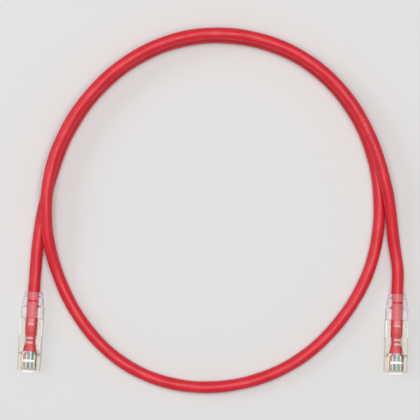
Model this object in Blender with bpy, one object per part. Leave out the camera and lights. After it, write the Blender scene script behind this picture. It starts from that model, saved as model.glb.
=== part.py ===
"""Ethernet patch cable, about 1 m long, lying in a loose loop and a half with a modular plug on each end.

Sizes are in millimetres and the mesh builders turn them into metres. A plug is modelled in its own frame:
+Y runs from its nose to the cable, +X across it, and +Z up from the contact side, which lies on the ground.
The whole cable's origin is on the ground midway between the two plugs.
"""

import math

import bmesh
import bpy
import numpy as np
from mathutils import Vector

MM = 0.001
ROUNDEST = 0.98  # a corner radius over the section's half width, at most
SHARP_ANGLE = 35  # degrees, past which an edge is drawn sharp
FINE_STEPS = 24  # of the smooth route, between two of its points

# Cable
CABLE_DIAMETER = 6.1
STRAND_GAP = 0.35  # left between two strands that lie on each other
POINT_SPACING = 12.3  # along the tube, about two diameters

# Plug housing
PLUG_WIDTH = 11.68
PLUG_LENGTH = 28.1  # nose tip to rear face
FRONT_HEIGHT = 6.6
REAR_WALL = 0.85
JACKET_CLEARANCE = 0.1
STEP_START = 9.4  # where the latch side steps up from the front height to the rear height
STEP_LENGTH = 1.3
EDGE_RADIUS = 0.35
TOE_CHAMFER = 0.5  # on the contact side's front edge
JOIN = 0.5  # how far a shape runs into what it is joined to, or past what it cuts
NOSE_WIDTH = 6.2
NOSE_LENGTH = 1.4
NOSE_LOW = 3.9
NOSE_TOP = 5.8
NOSE_CHAMFER = 0.4
COLLAR_LENGTH = 4.5  # the boot snaps on this
COLLAR_STEP = 1.05  # how far the collar stands in from the housing's sides
SNAP_HEIGHT = 0.3
SNAP_SETBACK = 1.8
SNAP_RAMP = 1.4
FRONT_WALL = 0.9
FRONT_ROOF_WALL = 0.7

# Contacts and conductors
CONTACTS = 8
CONTACT_PITCH = 1.02
CONTACT_THICKNESS = 0.35
CONTACT_SIDE_GAP = 0.055
CONTACT_LENGTH = 6.15
CONTACT_END_GAP = 0.3
CONTACT_FRONT = 1.75
CONTACT_NOSE_RADIUS = 0.6
CROWN_RECESS = 0.55
SPIKE_HEIGHT = 0.9
SPIKE_HALF_BASE = 0.32
SPIKE_PLACES = (0.82, 0.5, 0.18)  # along the contact, rear to front
WIRE_GAP = 0.04  # between neighbouring conductors
WIRE_HEIGHT = 4.0  # middle of the row of conductors
WIRE_END_GAP = 0.3
FIT_GAP = 0.05  # between conductor and floor, comb or contact
COMB_LENGTH = 4.8
COMB_ROOF = 0.6  # over the tips of its grooves
COMB_SETBACK = 0.8
ROOM_BEHIND_COMB = 0.4
ROOM_OVER_COMB = 0.15
ROOM_BESIDE_COMB = 0.2
FAN_LENGTH = 3.6
FAN_START = 0.8  # behind the jacket's cut end
FAN_LEVEL_DELAY = 1.4  # a conductor spreads this far before it starts to come level
BUNDLE_SIDE = 1.63  # outer pairs in the jacket, from its middle, in conductor diameters
BUNDLE_TOP = 1.53  # upper and lower pairs
BUNDLE_HALF_PAIR = 0.53

# Jacket inside the plug, as crimped
JACKET_CUT = 11.2  # cut end, from the nose tip
SOCKET_DEPTH = 2.4  # how far back the separator and the pairs can be seen to start
SOCKET_END_GAP = 0.2
JACKET_WALL_SIDES = 0.6
JACKET_WALL_FACES = 0.42
LIP = 0.1  # the cut end's edge is eased by this much
FLARE_HALF = (3.5, 2.6)
WAIST_HALF = (2.35, 2.3)
WAIST_START = 15.3
WAIST_LENGTH = 3.3
WAIST_RISE = 0.25  # the crimp lifts the jacket
CRIMP_BAR_DEPTH = 1.0  # recess on the contact side
CRIMP_BAR_INSET = 0.2
CHANNEL_SIDE_ROOM = 0.4  # beside the flare
WAIST_SIDE_ROOM = 0.25
CHANNEL_FLOOR_ROOM = 0.2
CHANNEL_ROOF_ROOM = 0.15
CHANNEL_TAPER = 1.2
SEPARATOR_THICKNESS = 0.24
SEPARATOR_REACH = 1.75

# Latch and snag guard
LATCH_ANGLE = 9.5
LATCH_THICKNESS = 0.85
LATCH_RISE = 0.3  # gap under the latch where it leaves the nose
ROOT_FRONT = 0.15  # the latch's root, from the nose tip
ROOT_BACK_GAP = 0.25
SHOULDER_HEIGHT = 1.25
SHOULDER_END = 7.1
SHOULDER_RAMP = 1.4
LATCH_TIP = 18.7
TIP_PAD_LENGTH = 0.9
TIP_PAD_DEPTH = 0.35
TAIL_WIDTH = 3.25
TAIL_JOIN = 1.0  # the tail starts this far inside the wide part
HINGE_GAP = 0.15  # stands for the thin web of a moulded hinge
GUARD_LUG_LENGTH = 2.1
GUARD_LUG_HEIGHT = 0.9
GUARD_LUG_BRIDGE = 0.7
GUARD_SLOT_WIDTH = 1.5
GUARD_THICKNESS = 0.8
GUARD_RISE = 0.25  # gap under the guard at its root
GUARD_ARCH_SETBACK = 0.9
GUARD_OVERLAP = 3.3  # of the guard over the tail of the latch
GUARD_LATCH_GAP = 0.27
GUARD_TIP_RAMP = 0.3
GUARD_TIP_RIB = 0.2
GROOVE_DEPTH = 0.8  # in the housing's top, for the latch's tail when it is pressed
GROOVE_SIDE_GAP = 0.35
GROOVE_END_GAP = 0.9

# Boot
BOOT_GAP = 0.2
BOOT_LENGTH = 13.2
BOOT_WALL = 0.5
BOOT_CORNER_RADIUS = 1.3
BORE_CLEARANCE = 0.25
CUFF_CLEARANCE = 0.2  # round the collar
CUFF_FACE_CLEARANCE = 0.1
SLEEVE_INSET = 0.08  # the sleeve stands in from the housing's sides by this much
SEGMENT_INSET = 0.3
TAIL_FLANGE = 0.95  # how far the tail flange stands out sideways at its front
TAIL_ROUNDING = 0.8
SLEEVE_LENGTH = 5.6
SEGMENT_LENGTH = 4.2
SLOT_WIDTHS = (0.95, 0.65)  # in front of the bending segment and behind it
WEB_WIDTH = 4.6
WINDOW_WIDTH = 1.15
SPLIT_SETBACK = 0.8  # behind the collar, where the plain tube takes over from the crimped end
SPLIT_OVERLAP = 0.3

CABLE_RADIUS = CABLE_DIAMETER / 2
REAR_HEIGHT = CABLE_DIAMETER + 2 * (REAR_WALL + JACKET_CLEARANCE)
AXIS_HEIGHT = REAR_HEIGHT / 2
BUNDLE_ROOM = FLARE_HALF[1] - JACKET_WALL_FACES - 3 * FIT_GAP  # above the middle of the jacket's open end
WIRE_DIAMETER = min(CONTACT_PITCH - WIRE_GAP, BUNDLE_ROOM / (BUNDLE_TOP + 0.5))
WIRE_RADIUS = WIRE_DIAMETER / 2
CHAMBER_FLOOR = WIRE_HEIGHT - WIRE_RADIUS - FIT_GAP
CHAMBER_HALF = CONTACTS * CONTACT_PITCH / 2 + ROOM_BESIDE_COMB
GROOVE_TIP = WIRE_HEIGHT + WIRE_RADIUS * math.sqrt(2) + FIT_GAP
COMB_TOP = GROOVE_TIP + COMB_ROOF
CHAMBER_FRONT = NOSE_LENGTH + FRONT_WALL
COMB_FRONT = CHAMBER_FRONT + COMB_SETBACK
CHAMBER_REAR = COMB_FRONT + COMB_LENGTH + ROOM_BEHIND_COMB
WAIST_END = WAIST_START + WAIST_LENGTH
COLLAR_END = PLUG_LENGTH + COLLAR_LENGTH
JACKET_SPLIT = COLLAR_END + SPLIT_SETBACK
BOOT_FRONT = PLUG_LENGTH + BOOT_GAP
BOOT_TAIL = BOOT_FRONT + BOOT_LENGTH
LATCH_HINGE = (NOSE_LENGTH / 2, NOSE_TOP + HINGE_GAP + LATCH_THICKNESS / 2)
GUARD_ROOT = PLUG_LENGTH - GUARD_LUG_LENGTH - HINGE_GAP
GUARD_HINGE = (GUARD_ROOT, REAR_HEIGHT + GUARD_RISE + GUARD_THICKNESS / 2)

# Where each nose tip lies, and how far its plug leans clockwise from pointing straight at -Y
PLUG_PLACES = {"left": ((-93.9, -20.1), 3.95), "right": ((93.0, -21.2), 1.4)}

# The cable's free run, left plug to right plug: x, y, and how high it rides, where 0 is on the ground
# and 1 is on top of another strand.
ROUTE = (
    (-89.0, 47.0, 0.0),
    (-86.5, 62.5, 0.0),
    (-83.0, 77.0, 0.0),
    (-78.5, 91.0, 0.0),
    (-64.5, 116.5, 0.0),
    (-43.0, 137.0, 0.0),
    (-15.5, 149.0, 0.0),
    (15.0, 150.0, 0.0),
    (44.0, 140.0, 0.0),
    (67.0, 119.5, 0.0),
    (81.0, 92.0, 0.0),
    (85.0, 62.0, 0.0),
    (80.0, 33.0, 0.0),
    (65.5, 7.0, 0.0),
    (43.0, -14.0, 0.0),
    (15.0, -25.5, 0.0),
    (-16.0, -26.5, 0.0),
    (-45.0, -15.5, 0.0),
    (-67.0, 6.5, 0.0),
    (-74.5, 19.5, 0.0),
    (-80.0, 33.5, 0.15),
    (-83.5, 48.0, 0.66),
    (-84.5, 62.5, 0.99),
    (-83.5, 77.0, 1.0),
    (-79.8, 91.5, 1.0),
    (-65.5, 117.5, 1.0),
    (-44.0, 138.0, 1.0),
    (-16.0, 150.5, 1.0),
    (15.5, 151.5, 1.0),
    (45.0, 141.0, 1.0),
    (68.5, 120.0, 1.0),
    (83.0, 92.5, 1.0),
    (87.5, 77.5, 0.9),
    (90.5, 62.0, 0.52),
    (92.5, 45.5, 0.1),
)

WIRE_COLOURS = (
    ("white_orange", (0.86, 0.62, 0.42)),
    ("orange", (0.82, 0.30, 0.05)),
    ("white_green", (0.62, 0.78, 0.64)),
    ("blue", (0.05, 0.16, 0.48)),
    ("white_blue", (0.60, 0.68, 0.82)),
    ("green", (0.04, 0.36, 0.16)),
    ("white_brown", (0.72, 0.60, 0.50)),
    ("brown", (0.25, 0.12, 0.06)),
)


def clear_scene():
    for item in list(bpy.data.objects):
        bpy.data.objects.remove(item, do_unlink=True)


def principled(name, colour, roughness, metallic=0.0, alpha=1.0):
    made = bpy.data.materials.new(name)
    made.use_nodes = True
    shader = made.node_tree.nodes["Principled BSDF"]
    shader.inputs["Base Color"].default_value = (*colour, 1.0)
    shader.inputs["Roughness"].default_value = roughness
    shader.inputs["Metallic"].default_value = metallic
    shader.inputs["Alpha"].default_value = alpha
    return made


def prism(outline, along, low, high):
    """A closed prism of an outline in the plane across the axis named by along, from low to high on it."""
    slot = "XYZ".index(along)

    def place(a, b, height):
        point = [a, b]
        point.insert(slot, height)
        return point

    bm = bmesh.new()
    corners = [bm.verts.new(Vector(place(a, b, low)) * MM) for a, b in outline]
    face = bm.faces.new(corners)
    extruded = bmesh.ops.extrude_face_region(bm, geom=[face])
    moved = [item for item in extruded["geom"] if isinstance(item, bmesh.types.BMVert)]
    bmesh.ops.translate(bm, verts=moved, vec=Vector(place(0, 0, high - low)) * MM)
    bmesh.ops.recalc_face_normals(bm, faces=bm.faces)
    return bm


def boxes(spans):
    """Separate boxes in one mesh, each given as its low and high corners."""
    bm = bmesh.new()
    for low, high in spans:
        made = bmesh.ops.create_cube(bm, size=1.0)["verts"]
        size = Vector(high) - Vector(low)
        middle = (Vector(high) + Vector(low)) / 2
        bmesh.ops.scale(bm, verts=made, vec=size * MM)
        bmesh.ops.translate(bm, verts=made, vec=middle * MM)
    return bm


def loft(rings):
    """A closed skin over rings of the same number of points, capped at both ends."""
    bm = bmesh.new()
    made = [[bm.verts.new(Vector(point) * MM) for point in ring] for ring in rings]
    for first, second in zip(made, made[1:]):
        for i in range(len(first)):
            j = (i + 1) % len(first)
            bm.faces.new((first[i], first[j], second[j], second[i]))
    bm.faces.new(made[0])
    bm.faces.new(made[-1])
    bmesh.ops.recalc_face_normals(bm, faces=bm.faces)
    return bm


def rounded_section(y, half_width, half_height, radius, middle=AXIS_HEIGHT, corner_steps=3):
    """A rounded rectangle across the plug at y. The radius is held within the section."""
    radius = min(radius, ROUNDEST * half_width, ROUNDEST * half_height)
    ring = []
    for corner, (sx, sz) in enumerate(((1, 1), (-1, 1), (-1, -1), (1, -1))):
        for step in range(corner_steps + 1):
            angle = math.radians(90 * (corner + step / corner_steps))
            x = sx * (half_width - radius) + radius * math.cos(angle)
            z = sz * (half_height - radius) + radius * math.sin(angle)
            ring.append((x, y, middle + z))
    return ring


def oval_section(y, half_width, half_height, middle=AXIS_HEIGHT, points=16):
    """An ellipse across the plug at y."""
    turns = [math.tau * (i + 0.5) / points for i in range(points)]
    return [(half_width * math.cos(t), y, middle + half_height * math.sin(t)) for t in turns]


def bevel_edges(bm, chosen, width, segments=2):
    bmesh.ops.bevel(
        bm, geom=chosen, offset=width * MM, segments=segments, profile=0.5, affect="EDGES", material=-1
    )


def add_piece(name, bm, material, place, pivot=(0.0, 0.0, 0.0)):
    """An object in a plug's frame. Its origin is at pivot, which is on the joint of a piece that moves."""
    pivot = Vector(pivot) * MM
    bmesh.ops.translate(bm, verts=bm.verts, vec=-pivot)
    mesh = bpy.data.meshes.new(name)
    bm.to_mesh(mesh)
    bm.free()
    mesh.materials.append(material)
    mesh.shade_smooth()
    mesh.set_sharp_from_angle(angle=math.radians(SHARP_ANGLE))
    piece = bpy.data.objects.new(name, mesh)
    bpy.context.collection.objects.link(piece)
    piece.parent = place
    piece.location = pivot
    return piece


def combine(piece, bm, operation="DIFFERENCE"):
    """Cuts a shape out of a piece, or joins it on, with a hidden helper in the same frame."""
    helper = bpy.data.objects.new(f"{piece.name}_helper", bpy.data.meshes.new("helper"))
    bm.to_mesh(helper.data)
    bm.free()
    bpy.context.collection.objects.link(helper)
    helper.parent = piece.parent
    helper.hide_render = True
    helper.display_type = "WIRE"
    modifier = piece.modifiers.new(operation.title(), "BOOLEAN")
    modifier.operation = operation
    modifier.solver = "EXACT"
    modifier.object = helper


def add_tube(name, points, radius, material, place=None, resolution=2):
    """A round tube along points, as a curve with filled ends."""
    curve = bpy.data.curves.new(name, "CURVE")
    curve.dimensions = "3D"
    curve.bevel_depth = radius * MM
    curve.bevel_resolution = resolution
    curve.use_fill_caps = True
    spline = curve.splines.new("POLY")
    spline.points.add(len(points) - 1)
    for item, point in zip(spline.points, points):
        item.co = (*(Vector(point) * MM), 1.0)
    spline.use_smooth = True
    curve.materials.append(material)
    tube = bpy.data.objects.new(name, curve)
    bpy.context.collection.objects.link(tube)
    tube.parent = place
    return tube


def smooth_step(value):
    value = min(max(value, 0.0), 1.0)
    return value * value * (3 - 2 * value)


def contact_x(pin):
    return (pin - (CONTACTS - 1) / 2) * CONTACT_PITCH


def latch_underside(y):
    return FRONT_HEIGHT + LATCH_RISE + (y - NOSE_LENGTH) * math.tan(math.radians(LATCH_ANGLE))


def housing_block():
    """The moulded block: a side profile with the step up behind the latch, its long edges rounded."""
    outline = [
        (NOSE_LENGTH + TOE_CHAMFER, 0.0),
        (PLUG_LENGTH, 0.0),
        (PLUG_LENGTH, REAR_HEIGHT),
        (STEP_START + STEP_LENGTH, REAR_HEIGHT),
        (STEP_START, FRONT_HEIGHT),
        (NOSE_LENGTH, FRONT_HEIGHT),
        (NOSE_LENGTH, TOE_CHAMFER),
    ]
    bm = prism(outline, "X", -PLUG_WIDTH / 2, PLUG_WIDTH / 2)
    sides = [edge for edge in bm.edges if abs(edge.verts[0].co.x - edge.verts[1].co.x) < 1e-6]
    bevel_edges(bm, sides, EDGE_RADIUS)
    return bm


def jacket_channel():
    """The room for the fanned conductors and the crimped jacket, open at the collar's end."""
    wide = FLARE_HALF[0] + CHANNEL_SIDE_ROOM
    waist = WAIST_HALF[0] + WAIST_SIDE_ROOM
    full = CABLE_RADIUS + JACKET_CLEARANCE
    low = AXIS_HEIGHT - FLARE_HALF[1] - CHANNEL_FLOOR_ROOM
    roof = AXIS_HEIGHT + FLARE_HALF[1] + CHANNEL_ROOF_ROOM
    bar = AXIS_HEIGHT + WAIST_RISE - WAIST_HALF[1] - JACKET_CLEARANCE
    front_roof = FRONT_HEIGHT - FRONT_ROOF_WALL
    front_half = CHAMBER_HALF - LIP
    stations = (
        (CHAMBER_REAR - LIP, CHAMBER_HALF, CHAMBER_FLOOR - CONTACT_THICKNESS, front_roof),
        (JACKET_CUT - JOIN, front_half, low + CHANNEL_FLOOR_ROOM, roof),
        (JACKET_CUT + CHANNEL_TAPER, wide, low, roof),
        (WAIST_START - CHANNEL_TAPER, wide - CHANNEL_SIDE_ROOM, low, roof),
        (WAIST_START, waist, bar, roof),
        (WAIST_END, waist, bar, roof),
        (WAIST_END + CHANNEL_TAPER, full, low, roof),
        (WAIST_END + 2 * CHANNEL_TAPER, full, AXIS_HEIGHT - full, AXIS_HEIGHT + full),
        (COLLAR_END + JOIN, full, AXIS_HEIGHT - full, AXIS_HEIGHT + full),
    )
    corners = ((-1, 0), (1, 0), (1, 1), (-1, 1))
    rings = []
    for y, half, floor, top in stations:
        rings.append([(side * half, y, top if up else floor) for side, up in corners])
    return loft(rings)


def mirrored(plan):
    """A half outline closed by its mirror image across the plug's middle."""
    return [*plan, *((-x, y) for x, y in reversed(plan))]


def join_nose(housing):
    low = (-NOSE_WIDTH / 2, 0, NOSE_LOW)
    high = (NOSE_WIDTH / 2, NOSE_LENGTH + JOIN, NOSE_TOP)
    nose = boxes([(low, high)])
    front = [edge for edge in nose.edges if all(vert.co.y < 1e-6 for vert in edge.verts)]
    bevel_edges(nose, front, NOSE_CHAMFER)
    combine(housing, nose, "UNION")


def join_collar(housing):
    """What the boot snaps on: it stands in on all sides, with a barb on each flank."""
    half = PLUG_WIDTH / 2 - COLLAR_STEP
    snap = PLUG_LENGTH + SNAP_SETBACK
    plan = [
        (half, PLUG_LENGTH - JOIN),
        (half, snap),
        (half + SNAP_HEIGHT, snap),
        (half, snap + SNAP_RAMP),
        (half, COLLAR_END),
    ]
    low = COLLAR_STEP + CUFF_FACE_CLEARANCE
    combine(housing, prism(mirrored(plan), "Z", low, REAR_HEIGHT - low), "UNION")


def join_guard_lug(housing):
    """The fork at the rear that the snag guard springs from."""
    outer, inner = TAIL_WIDTH / 2, GUARD_SLOT_WIDTH / 2
    front = PLUG_LENGTH - GUARD_LUG_LENGTH
    back = PLUG_LENGTH - LIP
    plan = [
        (inner, front + GUARD_LUG_BRIDGE),
        (inner, back),
        (outer, back),
        (outer, front),
    ]
    lug = prism(mirrored(plan), "Z", REAR_HEIGHT - JOIN / 2, REAR_HEIGHT + GUARD_LUG_HEIGHT)
    combine(housing, lug, "UNION")


def add_housing(side, place, clear):
    housing = add_piece(f"{side}_plug_body", housing_block(), clear, place)
    join_nose(housing)
    join_collar(housing)
    join_guard_lug(housing)

    combine(housing, jacket_channel())
    low = (-CHAMBER_HALF, CHAMBER_FRONT, CHAMBER_FLOOR)
    high = (CHAMBER_HALF, CHAMBER_REAR, COMB_TOP + ROOM_OVER_COMB)
    combine(housing, boxes([(low, high)]))

    blade_half = CONTACT_THICKNESS / 2 + CONTACT_SIDE_GAP
    rear = CONTACT_FRONT + CONTACT_LENGTH + CONTACT_END_GAP
    slots = []
    for pin in range(CONTACTS):
        x = contact_x(pin)
        low = (x - blade_half, NOSE_LENGTH - JOIN, -JOIN)
        slots.append((low, (x + blade_half, rear, CHAMBER_FLOOR + LIP)))
    combine(housing, boxes(slots))

    crimp_half = WAIST_HALF[0]
    low = (-crimp_half, WAIST_START + CRIMP_BAR_INSET, -JOIN)
    crimp = (low, (crimp_half, WAIST_END - CRIMP_BAR_INSET, CRIMP_BAR_DEPTH))
    groove_half = TAIL_WIDTH / 2 + GROOVE_SIDE_GAP
    low = (-groove_half, STEP_START - JOIN, REAR_HEIGHT - GROOVE_DEPTH)
    groove = (low, (groove_half, LATCH_TIP + GROOVE_END_GAP, REAR_HEIGHT + JOIN))
    combine(housing, boxes([crimp, groove]))


def add_latch(side, place, clear):
    """The latch from its root on the nose: wide to the locking shoulders, then a narrow tail."""
    root_low = NOSE_TOP + HINGE_GAP
    root_back = NOSE_LENGTH - ROOT_BACK_GAP
    shoulder_top = latch_underside(SHOULDER_END) + SHOULDER_HEIGHT
    outline = [
        (ROOT_FRONT, root_low),
        (root_back, root_low),
        (root_back, latch_underside(root_back)),
        (SHOULDER_END, latch_underside(SHOULDER_END)),
        (SHOULDER_END, shoulder_top),
        (SHOULDER_END - SHOULDER_RAMP, shoulder_top - LIP),
    ]
    bend = latch_underside(NOSE_LENGTH) + LATCH_THICKNESS - root_low
    for step in range(5):
        angle = math.radians(90 * step / 4)
        y = ROOT_FRONT + bend * (1 - math.sin(angle))
        outline.append((y, root_low + LIP + (bend - LIP) * math.cos(angle)))
    half = NOSE_WIDTH / 2 - LIP / 2
    pivot = (0.0, *LATCH_HINGE)
    latch = add_piece(f"{side}_latch", prism(outline, "X", -half, half), clear, place, pivot)

    start = SHOULDER_END - TAIL_JOIN
    pad = LATCH_TIP - TIP_PAD_LENGTH
    tail = [
        (start, latch_underside(start) + LIP),
        (pad - LIP, latch_underside(pad - LIP)),
        (pad, latch_underside(pad) - TIP_PAD_DEPTH),
        (LATCH_TIP, latch_underside(LATCH_TIP) - TIP_PAD_DEPTH),
        (LATCH_TIP, latch_underside(LATCH_TIP) + LATCH_THICKNESS),
        (start, latch_underside(start) + LATCH_THICKNESS),
    ]
    combine(latch, prism(tail, "X", -TAIL_WIDTH / 2, TAIL_WIDTH / 2), "UNION")


def add_snag_guard(side, place, clear):
    """The second sprung arm, from a lug at the rear up and forward over the tail of the latch."""
    top = latch_underside(LATCH_TIP) + LATCH_THICKNESS + GUARD_LATCH_GAP
    low = REAR_HEIGHT + GUARD_RISE
    run = GUARD_ROOT - LATCH_TIP - GUARD_ARCH_SETBACK
    steps = 6
    under = []
    for step in range(steps + 1):
        share = step / steps
        rise = (share + smooth_step(share)) / 2
        under.append((GUARD_ROOT - run * share, low + (top - low) * rise))
    tip = LATCH_TIP - GUARD_OVERLAP
    crown = top + GUARD_THICKNESS
    over = [(y + LIP, z + GUARD_THICKNESS) for y, z in under[1:]]
    outline = [
        *under,
        (tip + GUARD_TIP_RAMP, top),
        (tip, top + GUARD_TIP_RAMP),
        (tip, crown),
        (tip + GUARD_TIP_RAMP, crown + GUARD_TIP_RIB),
        (tip + 3 * GUARD_TIP_RAMP, crown),
        *reversed(over),
        (GUARD_ROOT, low + GUARD_THICKNESS - LIP),
    ]
    bm = prism(outline, "X", -TAIL_WIDTH / 2, TAIL_WIDTH / 2)
    add_piece(f"{side}_snag_guard", bm, clear, place, (0.0, *GUARD_HINGE))


def boot_outline():
    """Sections of the boot from the housing to its tail, each y, half width and half height."""
    sleeve = PLUG_WIDTH / 2 - SLEEVE_INSET
    tail = CABLE_RADIUS + BORE_CLEARANCE + BOOT_WALL
    step = BOOT_FRONT + SLEEVE_LENGTH
    flange = step + SLOT_WIDTHS[0] + SEGMENT_LENGTH + SLOT_WIDTHS[1]
    rounding = (
        (BOOT_TAIL - TAIL_ROUNDING, 0.8, 0.0),
        (BOOT_TAIL - TAIL_ROUNDING / 4, 0.4, -0.05),
        (BOOT_TAIL, 0.0, -0.15),
    )
    return (
        (BOOT_FRONT, sleeve, AXIS_HEIGHT),
        (step, sleeve, AXIS_HEIGHT),
        (step + SEGMENT_INSET, sleeve - SEGMENT_INSET, AXIS_HEIGHT - LIP),
        (flange, tail + TAIL_FLANGE, tail),
        *((y, tail + share * TAIL_FLANGE, tail + drop) for y, share, drop in rounding),
    )


def boot_slots():
    """Side slots in front of the bending segment and behind it, and a window across its middle."""
    start = BOOT_FRONT + SLEEVE_LENGTH
    web = WEB_WIDTH / 2
    low, high = -JOIN, REAR_HEIGHT + JOIN
    slots = []
    for width, offset in zip(SLOT_WIDTHS, (0.0, SLOT_WIDTHS[0] + SEGMENT_LENGTH)):
        y = start + offset
        for low_x, high_x in ((-PLUG_WIDTH, -web), (web, PLUG_WIDTH)):
            slots.append(((low_x, y, low), (high_x, y + width, high)))
    window = start + SLOT_WIDTHS[0] + (SEGMENT_LENGTH - WINDOW_WIDTH) / 2
    slots.append(((-web, window, low), (web, window + WINDOW_WIDTH, high)))
    return boxes(slots)


def add_boot(side, place, milky):
    """The strain relief: a sleeve over the collar, then segments that bend between side and middle slots."""
    rings = [rounded_section(y, width, height, BOOT_CORNER_RADIUS) for y, width, height in boot_outline()]
    boot = add_piece(f"{side}_boot", loft(rings), milky, place)

    half = PLUG_WIDTH / 2 - COLLAR_STEP + CUFF_CLEARANCE
    deep = half + SNAP_HEIGHT
    snap = PLUG_LENGTH + SNAP_SETBACK
    plan = [
        (half, BOOT_FRONT - JOIN),
        (half, snap - CUFF_CLEARANCE),
        (deep, snap - CUFF_CLEARANCE),
        (deep, snap + 2 * CUFF_CLEARANCE),
        (half, snap + SNAP_RAMP + 2 * CUFF_CLEARANCE),
        (half, COLLAR_END + BORE_CLEARANCE),
    ]
    low = COLLAR_STEP - CUFF_FACE_CLEARANCE
    combine(boot, prism(mirrored(plan), "Z", low, REAR_HEIGHT - low))

    bore = CABLE_RADIUS + BORE_CLEARANCE
    combine(boot, loft([oval_section(y, bore, bore) for y in (COLLAR_END - JOIN, BOOT_TAIL + JOIN)]))
    combine(boot, boot_slots())


def add_comb(side, place, clear):
    """The load bar: a plate with a V groove on its underside for each conductor."""
    half = CONTACTS * CONTACT_PITCH / 2
    ridge = GROOVE_TIP - CONTACT_PITCH / 2
    outline = [(-half, ridge)]
    for pin in range(CONTACTS):
        outline.append((contact_x(pin), GROOVE_TIP))
        outline.append((contact_x(pin) + CONTACT_PITCH / 2, ridge))
    outline += [(half, COMB_TOP), (-half, COMB_TOP)]
    bm = prism(outline, "Y", COMB_FRONT, COMB_FRONT + COMB_LENGTH)
    add_piece(f"{side}_load_bar", bm, clear, place)


def contact_outline():
    """A contact blade from the side: a flat crown with a round front corner, and three piercing spikes."""
    front, rear = CONTACT_FRONT, CONTACT_FRONT + CONTACT_LENGTH
    radius = CONTACT_NOSE_RADIUS
    tip = WIRE_HEIGHT - WIRE_RADIUS - FIT_GAP
    shoulder = tip - SPIKE_HEIGHT
    outline = []
    for step in range(4):
        angle = math.radians(180 + 30 * step)
        y = front + radius * (1 + math.cos(angle))
        outline.append((y, CROWN_RECESS + radius * (1 + math.sin(angle))))
    outline += [(rear, CROWN_RECESS), (rear, shoulder)]
    for share in SPIKE_PLACES:
        y = front + CONTACT_LENGTH * share
        outline += [(y + SPIKE_HALF_BASE, shoulder), (y, tip), (y - SPIKE_HALF_BASE, shoulder)]
    outline.append((front, shoulder))
    return outline


def add_contacts(side, place, gold):
    for pin in range(CONTACTS):
        x = contact_x(pin)
        bm = prism(contact_outline(), "X", x - CONTACT_THICKNESS / 2, x + CONTACT_THICKNESS / 2)
        add_piece(f"{side}_contact_{pin + 1}", bm, gold, place)


def wire_start(pin):
    """Where a conductor leaves the separator, across and up from the jacket's middle. Pins are from 0.

    Pair 1-2 leaves on the left, 7-8 on the right, 4-5 on top, and 3-6 below, so that 3 and 6 go round 4-5.
    """
    beside = BUNDLE_SIDE * WIRE_DIAMETER
    above = BUNDLE_TOP * WIRE_DIAMETER
    spread = BUNDLE_HALF_PAIR * WIRE_DIAMETER
    starts = (
        (-beside, spread),
        (-beside, -spread),
        (-spread, -above),
        (-spread, above),
        (spread, above),
        (spread, -above),
        (beside, -spread),
        (beside, spread),
    )
    return starts[pin]


def wire_path(pin):
    """A conductor from the separator to the front: it spreads to its pin first and then comes level."""
    x_start, z_start = wire_start(pin)
    back = JACKET_CUT + SOCKET_DEPTH - SOCKET_END_GAP
    fan_back = JACKET_CUT + FAN_START
    fan_front = fan_back - FAN_LENGTH
    level_back = fan_back - FAN_LEVEL_DELAY
    steps = 8
    path = [(x_start, back, AXIS_HEIGHT + z_start)]
    for step in range(steps + 1):
        y = fan_back - FAN_LENGTH * step / steps
        spread = smooth_step((fan_back - y) / (FAN_LENGTH - FAN_START))
        level = smooth_step((level_back - y) / (level_back - fan_front))
        x = x_start + (contact_x(pin) - x_start) * spread
        z = AXIS_HEIGHT + z_start
        path.append((x, y, z + (WIRE_HEIGHT - z) * level))
    path.append((contact_x(pin), CHAMBER_FRONT + WIRE_END_GAP, WIRE_HEIGHT))
    return path


def add_wires(side, place, colours):
    for pin in range(CONTACTS):
        add_tube(f"{side}_conductor_{pin + 1}", wire_path(pin), WIRE_RADIUS, colours[pin], place)


def add_jacket_end(side, place, red):
    """The jacket as crimped in the plug: round, squeezed to a waist, flared and open at its cut end."""
    waist_x, waist_z = WAIST_HALF
    flare_x, flare_z = FLARE_HALF
    lifted = AXIS_HEIGHT + WAIST_RISE
    inner_x, inner_z = flare_x - JACKET_WALL_SIDES, flare_z - JACKET_WALL_FACES
    rings = [
        oval_section(JACKET_SPLIT - SPLIT_OVERLAP, CABLE_RADIUS, CABLE_RADIUS),
        oval_section(WAIST_END + 2 * CHANNEL_TAPER, CABLE_RADIUS, CABLE_RADIUS),
        oval_section(WAIST_END + CHANNEL_TAPER, CABLE_RADIUS - LIP, flare_z),
        oval_section(WAIST_END, waist_x, waist_z, lifted),
        oval_section(WAIST_START, waist_x, waist_z, lifted),
        oval_section(WAIST_START - CHANNEL_TAPER, flare_x - JOIN, flare_z - LIP),
        oval_section(JACKET_CUT + LIP, flare_x, flare_z),
        oval_section(JACKET_CUT, flare_x - LIP, flare_z - LIP),
        oval_section(JACKET_CUT, inner_x, inner_z),
        oval_section(JACKET_CUT + SOCKET_DEPTH, inner_x - LIP, inner_z),
    ]
    add_piece(f"{side}_jacket_end", loft(rings), red, place)


def add_separator(side, place, white):
    """The cross between the four pairs, its arms turned 45 degrees."""
    reach, half = SEPARATOR_REACH, SEPARATOR_THICKNESS / 2
    cross = []
    for arm in range(4):
        turn = math.radians(45 + 90 * arm)
        for along, across in ((reach, -half), (reach, half), (half, half)):
            x = along * math.cos(turn) - across * math.sin(turn)
            z = along * math.sin(turn) + across * math.cos(turn)
            cross.append((x, AXIS_HEIGHT + z))
    bm = prism(cross, "Y", JACKET_CUT + LIP, JACKET_CUT + SOCKET_DEPTH - SOCKET_END_GAP)
    add_piece(f"{side}_pair_separator", bm, white, place)


def add_plug_frame(side):
    """An empty that holds one plug's frame. Everything on the plug is its child."""
    (x, y), lean = PLUG_PLACES[side]
    place = bpy.data.objects.new(f"{side}_plug_frame", None)
    bpy.context.collection.objects.link(place)
    place.location = (x * MM, y * MM, 0.0)
    place.rotation_euler = (0.0, 0.0, math.radians(-lean))
    return place


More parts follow.
